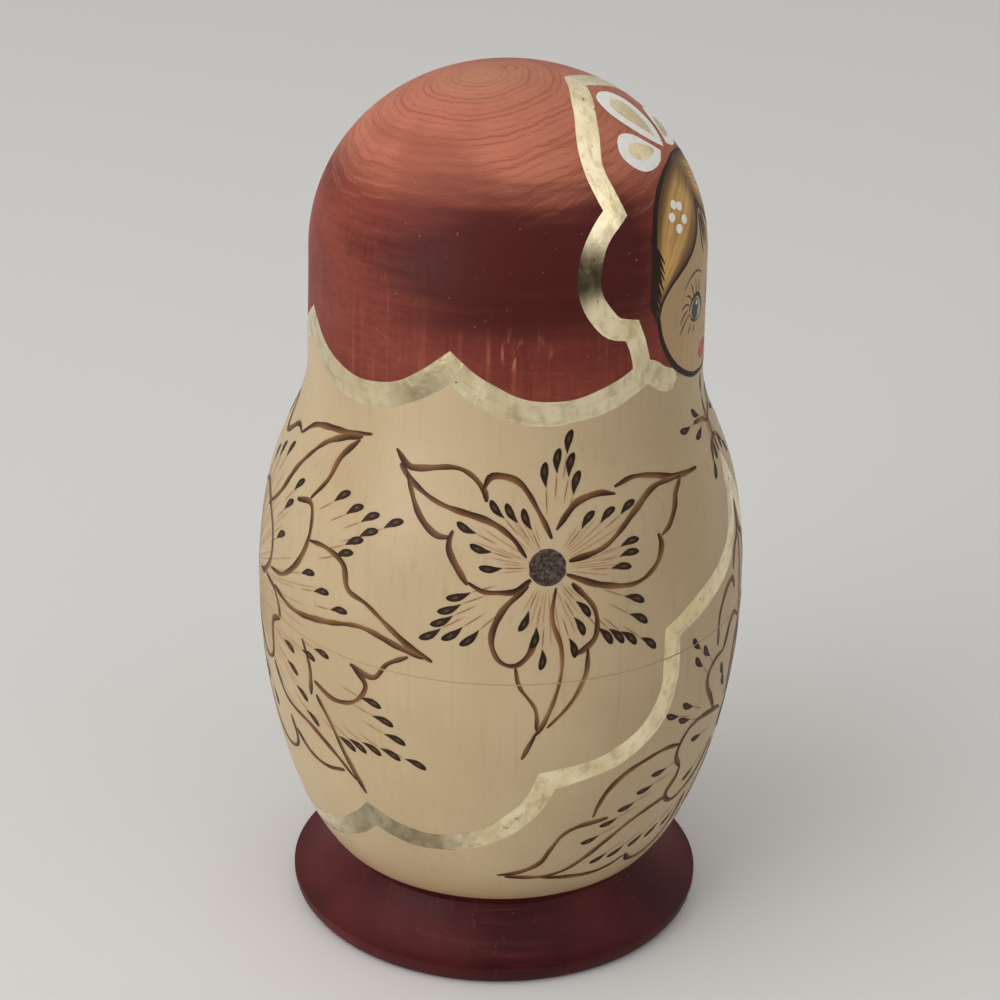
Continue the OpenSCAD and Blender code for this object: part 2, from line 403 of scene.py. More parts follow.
# The base: the same stain laid on until it is dark, with the lathe's fine rings in it
base_stain, tree, shader = new_finish("maroon_base")
grain = grained(tree)
maroon = mixed(tree, spread(tree, grain["Mottle"], 0.3, 0.7), (0.043, 0.0066, 0.0070), (0.108, 0.0185, 0.0190))
maroon = over(tree, maroon, grain["Fibre"], 0.56, 0.8, 0.30, (0.15, 0.034, 0.032))
maroon = over(tree, maroon, grain["Lathe lines"], 0.56, 0.8, 0.30, (0.15, 0.032, 0.030))
maroon = over(tree, maroon, grain["Dust"], 0.74, 0.80, 0.35, (0.26, 0.11, 0.09))
maroon_sheen = spread(tree, grain["Mottle"], 0.3, 0.7, 0.46, 0.58)
finished(tree, shader, maroon, maroon_sheen, 0.12, grain["Fibre"], 0.15, 0.0001)

# The inside: bare wood with the gouge's rings
bare_inside, tree, shader = new_finish("bare_limewood")
grain = grained(tree)
inside_place = add_node(tree, "ShaderNodeTexCoord")
gouge = add_node(tree, "ShaderNodeTexWave", wave_type="BANDS", bands_direction="Z")
gouge.inputs["Scale"].default_value = 330
gouge.inputs["Distortion"].default_value = 0.6
tree.links.new(inside_place.outputs["Object"], gouge.inputs["Vector"])
inside = mixed(tree, spread(tree, grain["Mottle"], 0.3, 0.7), (0.50, 0.365, 0.205), (0.58, 0.44, 0.265))
inside = over(tree, inside, gouge.outputs["Fac"], 0.4, 1.0, 0.22, (0.39, 0.27, 0.145))
inside = over(tree, inside, grain["Fibre"], 0.55, 0.8, 0.4, (0.38, 0.255, 0.13))
inside_sheen = spread(tree, grain["Fibre"], 0.3, 0.8, 0.6, 0.75)
finished(tree, shader, inside, inside_sheen, 0.5, gouge.outputs["Fac"], 0.25, 0.0002)


# A thin darker band along the seam is painted shade in the crease between the two halves.
seam_shade_tone, seam_shade_width = 0.15, 0.28
skin_depth, foot_depth, pip_height = 0.5, 0.05, 179


def finish_turned(made, across, height, body, node):
    if body != "smallest_doll":
        mark(made, "burn_tarnish_and_painted_shade", seam_shade_tone * (np.abs(height - seam_height) < seam_shade_width))
    for material in (lacquered, base_stain, bare_inside):
        made.data.materials.append(material)
    rim = np.interp(height, outline[:, 1], outline[:, 0])
    loops = np.empty(len(made.data.loops), int)
    made.data.loops.foreach_get("vertex_index", loops)
    starts = np.empty(len(made.data.polygons), int)
    made.data.polygons.foreach_get("loop_start", starts)
    deepest = np.maximum.reduceat((rim - across)[loops], starts)
    lowest, highest = np.minimum.reduceat(height[loops], starts), np.maximum.reduceat(height[loops], starts)
    lacquer, maroon_stain, bare = range(3)
    kinds = np.where(highest < stain_height, maroon_stain, lacquer)
    kinds[(deepest > skin_depth) & (highest > foot_depth) & (lowest < pip_height)] = bare
    made.data.polygons.foreach_set("material_index", kinds)
    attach(made, body)
    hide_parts(node)


for doll in range(4):
    k = doll_sizes[doll]
    lip = k * (seam_radius - rim_wall) - lip_gap
    lip_hollow = lip - k * lip_wall
    lip_top = k * (seam_height + lip_rise)
    seam = k * seam_height
    floor_radius = k * np.interp(hollow_floor, belly_wall[:, 1], belly_wall[:, 0])
    under = np.column_stack([np.linspace(0, foot[0] * k, 16)[:-1], np.zeros(15)])
    below_seam = outline_rows(outline_run[0], seam_run - 0.5 / k, row_gap)
    at_seam = outline_rows(seam_run - 0.3 / k, seam_run - edge_break / k, 0.2 / k)
    side = k * np.vstack([below_seam, at_seam])
    seat = np.array([
        (k * seam_radius - edge_break, seam), (lip, seam), (lip, seam + 0.5 * (lip_top - seam)),
        (lip, lip_top - lip_break), (lip - lip_break, lip_top), (lip_hollow, lip_top),
    ])
    hollow = k * hollow_rows(hollow_floor, seam_height - 2, lip_hollow / k, hollow_gap)[::-1]
    bowl_floor = np.column_stack([np.linspace(floor_radius, 0, 12), np.full(12, k * hollow_floor)])
    rows = np.vstack([under, side, seat, [(lip_hollow, hollow[0, 1] + 2 * k)], hollow, bowl_floor])
    name = doll_names[doll]
    bowl, across, height, bearing = turned(name + "_bowl", doll, rows)
    bleed = 0.45 * (0.5 + 0.5 * np.sin(np.radians(3 * bearing)))
    mark(bowl, "stain", bleed * np.exp(-np.clip(height - stain_height, 0, None) / 1.4))
    finish_turned(bowl, across, height, name + "_lower_half", name + "_lower_half")


# Upper halves: shoulder and head turned from one block, with a rim that slips over the lip below.
# The head scarf is a red brush stain down to a scalloped hem, darker in a patch beside the face.
# The grain runs up the doll, so the growth rings show on the crown, round a small pip where the lathe held it.
# The hem hangs in arcs from cusp to cusp, and in front it follows the chin
hem_cusps = [(-34.5, 121.3), (-92.2, 124.8), (-149, 123.8), (-211, 123.8), (-267.8, 124.8), (-325.5, 121.3)]
hem_valleys = [(-63.8, 116.0), (-121, 115.8), (-180, 116.0), (-239, 115.8), (-296.2, 116.0)]
chin_line = [(-34.5, 121.3), (-21.6, 118.5), (-10.1, 116.2), (0, 115.2)]


def flipped(points):
    return [(-x, y) for x, y in points]


def hem_segments():
    parts = []
    for left, low, right in zip(hem_cusps[:-1], hem_valleys, hem_cusps[1:]):
        turn = np.linspace(left[0], right[0], 40)
        edge = np.where(turn > low[0], left[1], right[1])
        reach = np.where(turn > low[0], left[0] - low[0], right[0] - low[0])
        parts.append(np.column_stack([turn, low[1] + (edge - low[1]) * ((turn - low[0]) / reach) ** 2]))
    return parts


def hem_at(bearing):
    path = np.vstack(hem_segments())
    chin = np.array(chin_line)
    path = np.vstack([path[::-1], chin, flipped(chin_line[-2::-1])])
    return np.interp(np.where(bearing > 34.5, bearing - 360, bearing), path[:, 0], path[:, 1])


def swell(value, middle, width, power=2):
    return np.exp(-(((value - middle) / width) ** power))


def finish_scarf(made, height, bearing):
    run = np.interp(height, outline[waist_at:, 1], outline_run[waist_at:])
    mark(made, "stain", np.clip((run - hem_at(bearing)) / 1.6 + 0.5, 0, 1))
    aside = np.abs(bearing)
    # A darker patch of stain on each side, beside the face and next to the gold frame.
    dark = 1.22 * swell(aside, 76, 42) * swell(run, 142, np.where(run > 142, 18, 14))
    dark += 0.5 * swell(aside, 42, 13) * swell(run, 146, 22)
    mark(made, "darker_beside_face", np.clip(dark, 0, 0.97))
    worn = np.zeros(len(run))
    for scuff_turn, scuff_run in ((-73, 127.5), (104, 131), (-168, 150), (20, 170)):
        worn += swell(bearing, scuff_turn, 8) * swell(run, scuff_run, 3.2)
    mark(made, "worn", np.clip(worn, 0, 1))


for doll in range(4):
    k = doll_sizes[doll]
    socket = k * (seam_radius - rim_wall)
    socket_top = k * (seam_height + lip_rise) + lip_end_gap
    seam = k * seam_height
    pip = np.array([(0, 179.92), (0.7, 179.9), (1.0, 179.7), (1.2, 179.55), (1.5, 179.8)]) * k
    at_seam = outline_rows(seam_run + edge_break / k, seam_run + 0.3 / k, 0.2 / k)
    above_seam = outline_rows(seam_run + 0.5 / k, outline_run[-1] - 2.4, row_gap)
    side = k * np.vstack([at_seam, above_seam])[::-1]
    rim = np.array([
        (k * seam_radius - edge_break, seam), (socket, seam),
        (socket, 0.5 * (seam + socket_top)), (socket, socket_top),
    ])
    hollow = k * hollow_rows(socket_top / k, hollow_top, girth[0], hollow_gap)
    ledge = [(np.interp(socket_top / k, *seam_wall[:, ::-1].T) * k, socket_top)]
    rows = np.vstack([pip, side, rim, ledge, hollow[:-1], [(0, hollow_top * k)]])
    name = doll_names[doll]
    shell, across, height, bearing = turned(name + "_head", doll, rows)
    finish_scarf(shell, height, bearing)
    finish_turned(shell, across, height, name + "_upper_half", name + "_upper_half")

# Smallest doll: the same outline turned solid from one block, too small to hollow out.
# It is stained, lacquered and painted like the others, and stands loose in the fourth doll.
k = doll_sizes[4]
rows = np.vstack([
    np.column_stack([np.linspace(0, foot[0] * k, 12)[:-1], np.zeros(11)]),
    k * outline_rows(outline_run[0], outline_run[-1], 1.5)[:-1],
    [(0, crown[1] * k)],
])
smallest, across, height, bearing = turned("smallest_turning", 4, rows)
finish_scarf(smallest, height, bearing)
finish_turned(smallest, across, height, "smallest_doll", "smallest_doll")


# Gold leaf: bands of pale foil laid on size along the scarf's hem, round the face and along the shawl's edge.
# The foil is thinner than paper, a little wrinkled, and worn through in specks.
def drawn(points, step):
    p = np.array(points, float)
    if len(p) > 2:
        q = np.vstack([2 * p[0] - p[1], p, 2 * p[-1] - p[-2]])
        t = np.linspace(0, 1, 12, endpoint=False)[:, None]
        p = np.vstack([
            0.5 * (2 * b + (c - a) * t + (2 * a - 5 * b + 4 * c - d) * t**2 + (3 * b - a - 3 * c + d) * t**3)
            for a, b, c, d in zip(q[:-3], q[1:-2], q[2:-1], q[3:])
        ] + [p[-1:]])
    gaps = np.hypot(np.radians(np.diff(p[:, 0])) * radius_at((p[1:, 1] + p[:-1, 1]) / 2), np.diff(p[:, 1]))
    far = np.concatenate([[0], np.cumsum(gaps)])
    even = np.linspace(0, far[-1], max(3, int(round(far[-1] / step)) + 1))
    return np.column_stack([np.interp(even, far, p[:, 0]), np.interp(even, far, p[:, 1])]), even


seam_clear, sharpest_mitre = 0.13, 0.35
least_area, weld_gap = 0.0001, 1e-7


# A layer is a drawing not yet laid on a doll: its points with their lift, its tones, strands and faces
def new_layer():
    return {"at": [], "tone": [], "grain": [], "faces": []}


def add_grid(layer, at, tone, grain=None):
    rows, columns = at.shape[:2]
    first = len(layer["at"])
    layer["at"] += at.reshape(-1, 3).tolist()
    layer["tone"] += np.broadcast_to(tone, (rows, columns)).ravel().tolist()
    if grain is None:
        grain = np.dstack(np.meshgrid(np.linspace(0, 1, columns), np.linspace(0, 1, rows)))
    layer["grain"] += grain.reshape(-1, 2).tolist()
    corner = (first + np.arange(rows - 1)[:, None] * columns + np.arange(columns - 1)).ravel()
    layer["faces"] += np.column_stack([corner, corner + columns, corner + columns + 1, corner + 1]).tolist()


def add_ribbon(layers, path, width, tone, across, weight, lift):
    path = np.column_stack([path, np.broadcast_to(width, len(path)), np.broadcast_to(tone, len(path))])
    above = path[:, 1] > seam_run
    cuts = [0] + [i + 1 for i in range(len(path) - 1) if above[i] != above[i + 1]] + [len(path)]
    for start, end in zip(cuts[:-1], cuts[1:]):
        part = path[start:end]
        up = above[start]
        if start > 0:
            share = (seam_run - path[start - 1, 1]) / (path[start, 1] - path[start - 1, 1])
            part = np.vstack([path[start - 1] + share * (path[start] - path[start - 1]), part])
        if end < len(path):
            share = (seam_run - path[end - 1, 1]) / (path[end, 1] - path[end - 1, 1])
            part = np.vstack([part, path[end - 1] + share * (path[end] - path[end - 1])])
        radius = radius_at(part[:, 1])
        step = np.column_stack([np.radians(np.diff(part[:, 0])) * radius[:-1], np.diff(part[:, 1])])
        step /= np.maximum(np.linalg.norm(step, axis=1), 1e-9)[:, None]
        side = np.column_stack([-step[:, 1], step[:, 0]])
        before, after = np.vstack([side[:1], side]), np.vstack([side, side[-1:]])
        mitre = (before + after) / np.maximum(1 + (before * after).sum(1), sharpest_mitre)[:, None]
        at = np.empty((len(part), len(across), 3))
        for column, share in enumerate(across):
            off = (part[:, 2] / 2 * share)[:, None] * mitre
            at[:, column, 0] = part[:, 0] + np.degrees(off[:, 0] / radius)
            at[:, column, 1] = part[:, 1] + off[:, 1]
            at[:, column, 2] = lift[column]
        rise = at[:, :, 1]
        at[:, :, 1] = np.maximum(rise, seam_run + seam_clear) if up else np.minimum(rise, seam_run - seam_clear)
        tones = part[:, 3:] * np.array(weight)
        along = np.radians(np.diff(at[:, :, 0], axis=0)) * radius[1:, None]
        gap = np.hypot(along, np.diff(at[:, :, 1], axis=0)).max(1)
        count = np.maximum(1, np.ceil(gap / row_gap)).astype(int)
        where = np.concatenate([i + np.arange(n) / n for i, n in enumerate(count)] + [[len(at) - 1]])
        low = np.minimum(where.astype(int), len(at) - 2)
        share = (where - low)[:, None]
        at = at[low] + share[:, :, None] * (at[low + 1] - at[low])
        add_grid(layers["upper" if up else "lower"], at, tones[low] + share * (tones[low + 1] - tones[low]))


def lay(name, layer, doll, material):
    k = doll_sizes[doll]
    at = np.array(layer["at"])
    run, turn = at[:, 1], np.radians(at[:, 0])
    lean_out, lean_up = (np.interp(run, outline_run, outline_lean[:, i]) for i in (0, 1))
    radius = k * radius_at(run) + at[:, 2] * lean_up
    height = k * height_at(run) - at[:, 2] * lean_out + doll_stands[doll]
    place = np.column_stack([radius * np.sin(turn), -radius * np.cos(turn), height]) / 1000
    faces = np.array(layer["faces"])
    u, v = (turn * radius)[faces], run[faces]
    wound = ((u - np.roll(u, -1, 1)) * (v + np.roll(v, -1, 1))).sum(1)
    faces = np.where((wound < 0)[:, None], faces[:, ::-1], faces)[np.abs(wound) > least_area]
    mesh = bpy.data.meshes.new(name)
    mesh.from_pydata(place.tolist(), [], faces.tolist())
    mesh.update()
    made = bpy.data.objects.new(name, mesh)
    bpy.context.collection.objects.link(made)
    mark(made, "burn_tarnish_and_painted_shade", layer["tone"])
    threads = mesh.uv_layers.new(name="strands")
    loops = np.empty(len(mesh.loops), int)
    mesh.loops.foreach_get("vertex_index", loops)
    threads.data.foreach_set("uv", np.array(layer["grain"], np.float32)[loops].ravel())
    welded = bmesh.new()
    welded.from_mesh(mesh)
    bmesh.ops.remove_doubles(welded, verts=welded.verts, dist=weld_gap)
    welded.to_mesh(mesh)
    welded.free()
    mesh.polygons.foreach_set("use_smooth", [True] * len(mesh.polygons))
    mesh.materials.append(material)
    return made


def lay_on_dolls(name, layers, material):
    for doll, doll_name in enumerate(doll_names):
        for half, layer in layers.items():
            if layer["faces"]:
                made = lay(f"{doll_name}_{name}_{half}", layer, doll, material)
                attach(made, "smallest_doll" if doll == 4 else f"{doll_name}_{half}_half")


def band(layers, segments, width, seed, round_end=False):
    path = []
    for number, points in enumerate(segments):
        even, far = drawn(points if len(points) < 30 else points[::3], 0.3 if round_end else 1.1)
        clear = 0.55 * width
        keep = np.ones(len(even), bool)
        if number > 0:
            keep &= (far > clear) | (far == 0)
        if number < len(segments) - 1:
            keep &= (far < far[-1] - clear)
        path.append(even[keep])
    path = np.vstack(path)
    wave = np.arange(len(path)) * (0.27 if round_end else 1)
    ragged = 1 + 0.05 * np.sin(wave * 0.23 + seed) + 0.03 * np.sin(wave * 0.61 + 2 * seed)
    if round_end:
        gaps = np.hypot(np.radians(np.diff(path[:, 0])) * radius_at(path[1:, 1]), np.diff(path[:, 1]))
        far = np.concatenate([[0], np.cumsum(gaps)])
        ragged *= np.sqrt(np.clip(1 - np.clip(1 - (far[-1] - far) / (0.55 * width), 0, 1) ** 2, 0.03, 1))
    aside, run = np.abs(path[:, 0]), path[:, 1]
    # The foil darkens at the temples, on the hem's sides, on the shawl's lower sides and a little along the
    # hem: partly tarnish, partly painted dark reflection.
    tarnish_and_dark_reflection = swell(run, 142.5, 5.2, 4) * (aside > 38) + 0.42 * swell(aside, 101, 11) * (run > 100)
    tarnish_and_dark_reflection += 0.62 * swell(aside, 104, 19, 4) * (run < 40) + 0.16 * (run > 100) * (run < 127)
    add_ribbon(
        layers, path, width * ragged, np.clip(tarnish_and_dark_reflection, 0, 1),
        (-1, -0.85, 0, 0.85, 1), (1,) * 5, (0.02, 0.05, 0.055, 0.05, 0.02),
    )


def mirrored(points):
    return flipped(points)[::-1]


gold_bands = {"lower": new_layer(), "upper": new_layer()}
band(gold_bands, hem_segments(), 5.0, 1)
chin_end = [(-34.5, 121.3), (-31.5, 120.4), (-27.8, 118.6), (-24, 117.5), (-20.5, 117.2)]
band(gold_bands, [chin_end], 4.6, 2, True)
band(gold_bands, [flipped(chin_end)], 4.6, 3, True)
frame_left = [
    [(-36, 121.5), (-36.5, 124), (-38.5, 128.4), (-40, 130.3)],
    [(-40, 130.3), (-46, 131.5), (-50, 134.2), (-53, 137.5), (-54, 141.5), (-52, 146.5), (-48, 150.2),
     (-42.5, 153)],
    [(-42.5, 153), (-44, 156.8), (-45.2, 161.2), (-44, 165.2), (-40.5, 169), (-35.5, 172.5), (-29, 175.8),
     (-21, 178.3), (-12, 180.3), (-4, 181.7), (0, 182)],
]
frame_right = [mirrored(points) for points in frame_left[::-1]]
band(gold_bands, frame_left[:2] + [frame_left[2] + frame_right[0][1:]] + frame_right[1:], 4.5, 4)
shawl_left = [
    [(0, 93), (-3, 85.8), (-8, 78.8), (-15, 74.8), (-23.4, 72), (-31, 69.5), (-34.2, 68.3)],
    [(-34.2, 68.3), (-34.3, 62.9), (-34.5, 57.6), (-36.7, 51.7), (-40.6, 47.6), (-47, 44.2), (-53.8, 42.3),
     (-65, 40.6)],
    [(-65, 40.6), (-66.3, 37.6), (-68.5, 34), (-72.5, 30.3), (-77, 27.2), (-85, 24.2), (-95, 23), (-103, 24),
     (-110, 26.5)],
    [(-110, 26.5), (-114, 23), (-122.5, 18.2), (-135, 14.7), (-145, 13.5), (-160, 15.5), (-180, 21)],
]
shawl_right = [mirrored(points) for points in shawl_left[::-1]]
band(gold_bands, shawl_right + shawl_left, 4.6, 5)

gold_leaf, tree, shader = new_finish("gold_leaf")
leaf_place = add_node(tree, "ShaderNodeTexCoord").outputs["Object"]
leaf_wrinkle = speckled(tree, leaf_place, 420, 4.0, (1, 1, 0.6))
leaf_patch = speckled(tree, leaf_place, 90, 2.0)
leaf_speck = speckled(tree, leaf_place, 800, 2.0)
leaf_threads = add_node(tree, "ShaderNodeUVMap", uv_map="strands").outputs["UV"]
leaf_streak = speckled(tree, leaf_threads, 1.0, 3.0, (5, 38, 1))
leaf = mixed(tree, spread(tree, leaf_patch, 0.35, 0.68), (0.96, 0.845, 0.575), (0.79, 0.655, 0.39))
leaf = over(tree, leaf, leaf_wrinkle, 0.48, 0.74, 0.55, (0.46, 0.36, 0.19))
leaf = over(tree, leaf, leaf_streak, 0.50, 0.76, 0.50, (0.40, 0.31, 0.16))
# Where this tone is set the foil turns dark olive: tarnish, and a painted dark reflection.
leaf_tarnish_and_painted_reflection = both(tree, painted_value(tree, "burn_tarnish_and_painted_shade"), spread(tree, leaf_wrinkle, 0.30, 0.62, 0.88, 1.0))
leaf = mixed(tree, leaf_tarnish_and_painted_reflection, leaf, (0.052, 0.035, 0.019))
leaf = over(tree, leaf, leaf_speck, 0.69, 0.77, 0.85, (0.10, 0.07, 0.03))
tree.links.new(spread(tree, leaf_speck, 0.68, 0.76, 0.92, 0.2), shader.inputs["Metallic"])
leaf_sheen = spread(tree, leaf_wrinkle, 0.3, 0.75, 0.16, 0.38)
finished(tree, shader, leaf, leaf_sheen, 0.5, leaf_wrinkle, 0.75, 0.00035)
lay_on_dolls("gold_bands", gold_bands, gold_leaf)


# Burnt flowers: drawn with a hot wire into the bare wood, brown along a stroke and black where the wire rests.
# A flower on each side, a tall one down the front, one at the back, and a sprig under the chin.
burnt = {"lower": new_layer(), "upper": new_layer()}
hearts = {"lower": new_layer(), "upper": new_layer()}
line_across = (-1, -0.62, 0, 0.62, 1)
line_tones = ((1, 0.96, 0.80, 0.66, 0.56), (0.56, 0.66, 0.80, 0.96, 1))
strokes_laid = []


def line_lift():
    strokes_laid.append(0.028 + 0.004 * (len(strokes_laid) % 9))
    return (strokes_laid[-1],) * 5


def placed(points, turn, rise, unit, flip):
    return [(turn + (-x if flip else x) * unit, rise + y) for x, y in points]


def stroke(points, width=1.12, tone=0.78):
    path, far = drawn(points, 0.8)
    ends = np.minimum(far, far[-1] - far)
    wander = 1 + 0.20 * np.sin(far * 0.33 + points[0][0]) + 0.09 * np.sin(far * 1.3 + points[-1][1])
    heat = tone + (1 - tone) * np.exp(-ends / 2.6) + 0.10 * np.sin(far * 0.6 + points[0][1])
    taper = 0.45 + 0.55 * np.minimum(1, ends / 2.2) ** 0.6
    tones = line_tones[len(strokes_laid) % 2]
    add_ribbon(burnt, path, width * taper * wander, np.clip(heat, 0, 1), line_across, tones, line_lift())


def faint(points, tone=0.33):
    path, far = drawn(points, 0.9)
    fade = np.minimum(1, np.minimum(far, far[-1] - far) / 1.5)
    add_ribbon(burnt, path, 0.58, tone * (0.3 + 0.7 * fade), (-1, 0, 1), (0, 1, 0), (0.025, 0.025, 0.025))


def dab(x, y, aim, turn, rise, unit, flip, length=4.4, width=1.45):
    away = np.array(aim, float) / np.hypot(*aim)
    bow = np.array((-away[1], away[0])) * 0.35
    t = np.linspace(0, 1, 13)
    spine = np.array((x, y)) + (t[:, None] - 0.5) * length * away + np.sin(math.pi * t)[:, None] * bow
    path = np.array(placed(spine.tolist(), turn, rise, unit, flip))
    full = np.minimum(1, t / 0.5) ** 0.75 * np.sqrt(np.clip(1 - np.clip((t - 0.62) / 0.38, 0, 1) ** 2, 0, 1))
    hollow = swell(t, 0.62, 0.15)
    first = {half: len(burnt[half]["tone"]) for half in burnt}
    heat = 0.62 + 0.38 * np.minimum(1, 2 * t)
    add_ribbon(burnt, path, width * np.maximum(full, 0.12), heat, (-1, -0.7, 0, 0.7, 1), (1,) * 5, line_lift())
    for half in burnt:
        tones = burnt[half]["tone"]
        count = (len(tones) - first[half]) // 5
        for row in range(count if count == len(t) else 0):
            tones[first[half] + row * 5 + 2] = 1 - 0.42 * hollow[row]
    tail = np.array((x, y)) - away * length * np.array([[0.45], [1.0], [1.6]])
    faint(placed(tail.tolist(), turn, rise, unit, flip), 0.46)


def flower(strokes, dabs, fans, turn, rise, unit, flip=False):
    for points in strokes:
        stroke(placed(points, turn, rise, unit, flip))
    for x, y in dabs:
        dab(x, y, (x, y), turn, rise, unit, flip)
        shares = (min(0.8, 4.2 / math.hypot(x, y)), 0.62, 0.86)
        for swing in (-0.10, 0.10):
            line = [((x - swing * y) * share, (y + swing * x) * share) for share in shares]
            faint(placed(line, turn, rise, unit, flip))
    for x, y in fans:
        dab(x, y, (x, y), turn, rise, unit, flip, 4.8, 1.55)


def heart_disc(layers, turn, rise, unit, radius, tone):
    rows, columns = 25, 17
    low, high = rise - 0.99 * radius, rise + 0.99 * radius
    parts = (("lower", low, min(high, seam_run - seam_clear)), ("upper", max(low, seam_run + seam_clear), high))
    for half, start, end in parts:
        if start < end:
            swing = np.linspace(math.acos((rise - start) / radius), math.acos((rise - end) / radius), rows)
            reach = radius * np.sin(swing) * (1 + 0.025 * np.sin(7 * swing) + 0.02 * np.sin(11 * swing + 1))
            at = np.empty((rows, columns, 3))
            at[:, :, 0] = turn + reach[:, None] * np.linspace(-1, 1, columns) * unit
            at[:, :, 1] = (rise - radius * np.cos(swing))[:, None]
            at[:, :, 2] = 0.07
            add_grid(layers[half], at, tone)


side_strokes = [
    [(-33.5, 20), (-30.5, 17.6), (-28, 17.2), (-20, 18.4), (-15.8, 17.4), (-12.8, 14.7), (-12, 12.4)],
    [(-32, 17.4), (-28.5, 14.6), (-22, 11.4), (-12, 9), (-7, 6), (-4, 2)],
    [(-30, 16), (-26, 9), (-22, 5.5), (-18.6, 5.2)],
    [(-12.8, 14.7), (-11.6, 17), (-9.3, 17.4), (-6, 16.6), (-3.5, 14.3), (-0.5, 8.9), (1, 5.4)],
    [(-18.4, 6.6), (-19, 4.6), (-18.5, 2), (-15, -3.5)],
    [(-15, -3), (-12, -4.6), (-9, -4.7), (-6, -4.4), (-3.2, -2.2)],
    [(2, 7), (4.6, 10), (7.2, 12), (11.8, 12.9), (15.7, 12.2)],
    [(15.7, 13.5), (20.7, 14.5), (26.5, 13.5), (31, 12), (35.5, 11.3), (40.5, 11)],
    [(4.2, 0.9), (11.8, 2.8), (19.5, 8.2), (25.7, 11.5), (34, 11.4)],
    [(33.8, 11), (31.2, 8.8), (30, 6.4), (27.5, 3.4), (25, 2)],
    [(24.2, 2.6), (24.6, 0.1), (22.6, -3.4), (17.6, -5.7), (10.3, -4.5), (3.6, -1.6)],
    [(-3.6, -3.4), (-8.2, -8), (-10.3, -13.8), (-8.9, -18.4), (-5.8, -19.5), (-3.2, -16.8), (-2.4, -13)],
    [(4.6, -3.4), (8.8, -8.8), (9.2, -14.2), (7.2, -16.8), (4.9, -18)],
]
side_leaf = [
    [(-5.8, -20), (-5, -24), (-2, -29), (-1.6, -34)],
    [(1.5, -4), (0.7, -10), (2.5, -16.5), (2.2, -24), (-0.5, -32.6), (-2.4, -35.5)],
    [(7.6, -17), (7.2, -22.6), (4.5, -28.4), (0.3, -33.4)],
    [(-1.9, -35), (-3, -37.5), (-4.2, -40.5)],
]
side_dabs = [
    (-9.8, 11.2), (-6.8, 10.5), (-3.7, 9.3), (-15.8, 7.4), (-12.8, 3.7), (-10.8, 0.1), (8.8, 8.2),
    (13.2, 8.5), (18, 9.1), (17.2, 2.4), (16.8, 0.3), (14.8, -2), (-4.5, -10.3), (-2.6, -13.8), (-1.2, -18.4),
    (6.6, -8.8), (5.8, -12.2), (4.5, -16.5),
]
side_fans = [
    (0.5, 17.5), (3.4, 20), (6.1, 23.5), (6.3, 19), (7.2, 15.5), (-16.6, -5.7), (-18.2, -8.4), (-19.5, -11),
    (-21.6, -14), (-17.5, -13.4), (-14.3, -14), (17.2, -8.8), (18, -13), (10.9, -15), (13.2, -15.5),
    (15.8, -16.5), (20.2, -18.8),
]
side_rise, side_unit = 86.8, math.degrees(1 / 46.97)
for side_turn, flip in ((-66.2, False), (66.2, True)):
    flower(side_strokes, side_dabs, side_fans, side_turn, side_rise, side_unit, flip)
    for points in side_leaf:
        stroke(placed(points, side_turn, side_rise, side_unit, flip), 0.85, 0.56)
    heart_disc(hearts, side_turn, side_rise, side_unit, 3.6, 0.8)

front_rise = 37
front_strokes = [
    [(-7, 41), (-10.6, 42.4), (-19, 43.9), (-23.8, 43.5), (-26.5, 41.7), (-27.9, 39), (-27.5, 36.7),
     (-25.2, 34)],
    [(-25.2, 34), (-25.9, 31.3), (-28.1, 29), (-27.9, 26.7), (-24.3, 24.7), (-19.7, 25.2), (-14.3, 27.2),
     (-10.6, 29.9), (-8, 34)],
    [(-13, 43.5), (-16, 47.2), (-18.4, 49.9), (-19.5, 52.6), (-18.6, 54.9), (-15.6, 56.5), (-12, 56.7)],
    [(-12, 56.7), (-10.5, 58.5), (-8.6, 61.1), (-5.2, 62.4), (-1.5, 60.4)],
    [(-15.6, 59), (-15.6, 64.8), (-13.8, 68.1), (-10.6, 70.6), (-7, 70.8), (-5.6, 68.1)],
    [(-6.5, 72.5), (-4.3, 76.7), (-1.1, 79), (0, 85.5)],
    [(-76.1, 14), (-69.7, 15.1), (-64.7, 17.6), (-62.5, 21.3), (-59.7, 25.4), (-56, 27.2), (-52, 27.6),
     (-47.5, 27.9)],
    [(-52, 29), (-51, 32.2), (-48.8, 35.8), (-44.3, 39), (-37.9, 40.8), (-32.5, 41.3), (-28, 40.6)],
    [(-74, 13.6), (-69.7, 13.2), (-63.4, 12.8), (-57, 14), (-51.5, 17.2), (-47, 20.4), (-40.6, 24.2),
     (-34.3, 26.3), (-28.4, 27.2)],
    [(-63.4, 12.4), (-57, 11.5), (-47.9, 10.6), (-41.5, 11.3), (-37, 13.1)],
    [(-36.5, 13.5), (-33.8, 10.8), (-28.8, 9.9), (-23.4, 11.1), (-19.3, 14), (-17, 17.6), (-15.6, 23)],
    [(-2, 41), (-3.4, 47), (-3, 53), (-1, 58)],
    [(-4, 32), (-6, 26), (-9, 21), (-11.5, 17.5)],
]
front_dabs = [
    (-51.5, 22.6), (-47, 26.5), (-42.5, 29.5), (-37.5, 32.6), (-33.6, 35.8), (-47, 15.6), (-41.4, 16),
    (-34.7, 17.2), (-28.6, 17.8), (-22, 18.4), (-20, 39.4), (-19, 29.6), (-9, 48.5), (-11, 52),
]
front_fans = [(-32.2, 49), (-26.8, 49.6), (-27.5, 46.5), (-25.4, 63.1), (-24, 58.5), (-20.9, 59.9)]


def front_dab(x, y, aim, length=4.2, width=1.4):
    dab(math.radians(x) * radius_at(y), y, aim, 0, 0, math.degrees(1 / radius_at(y)), False, length, width)


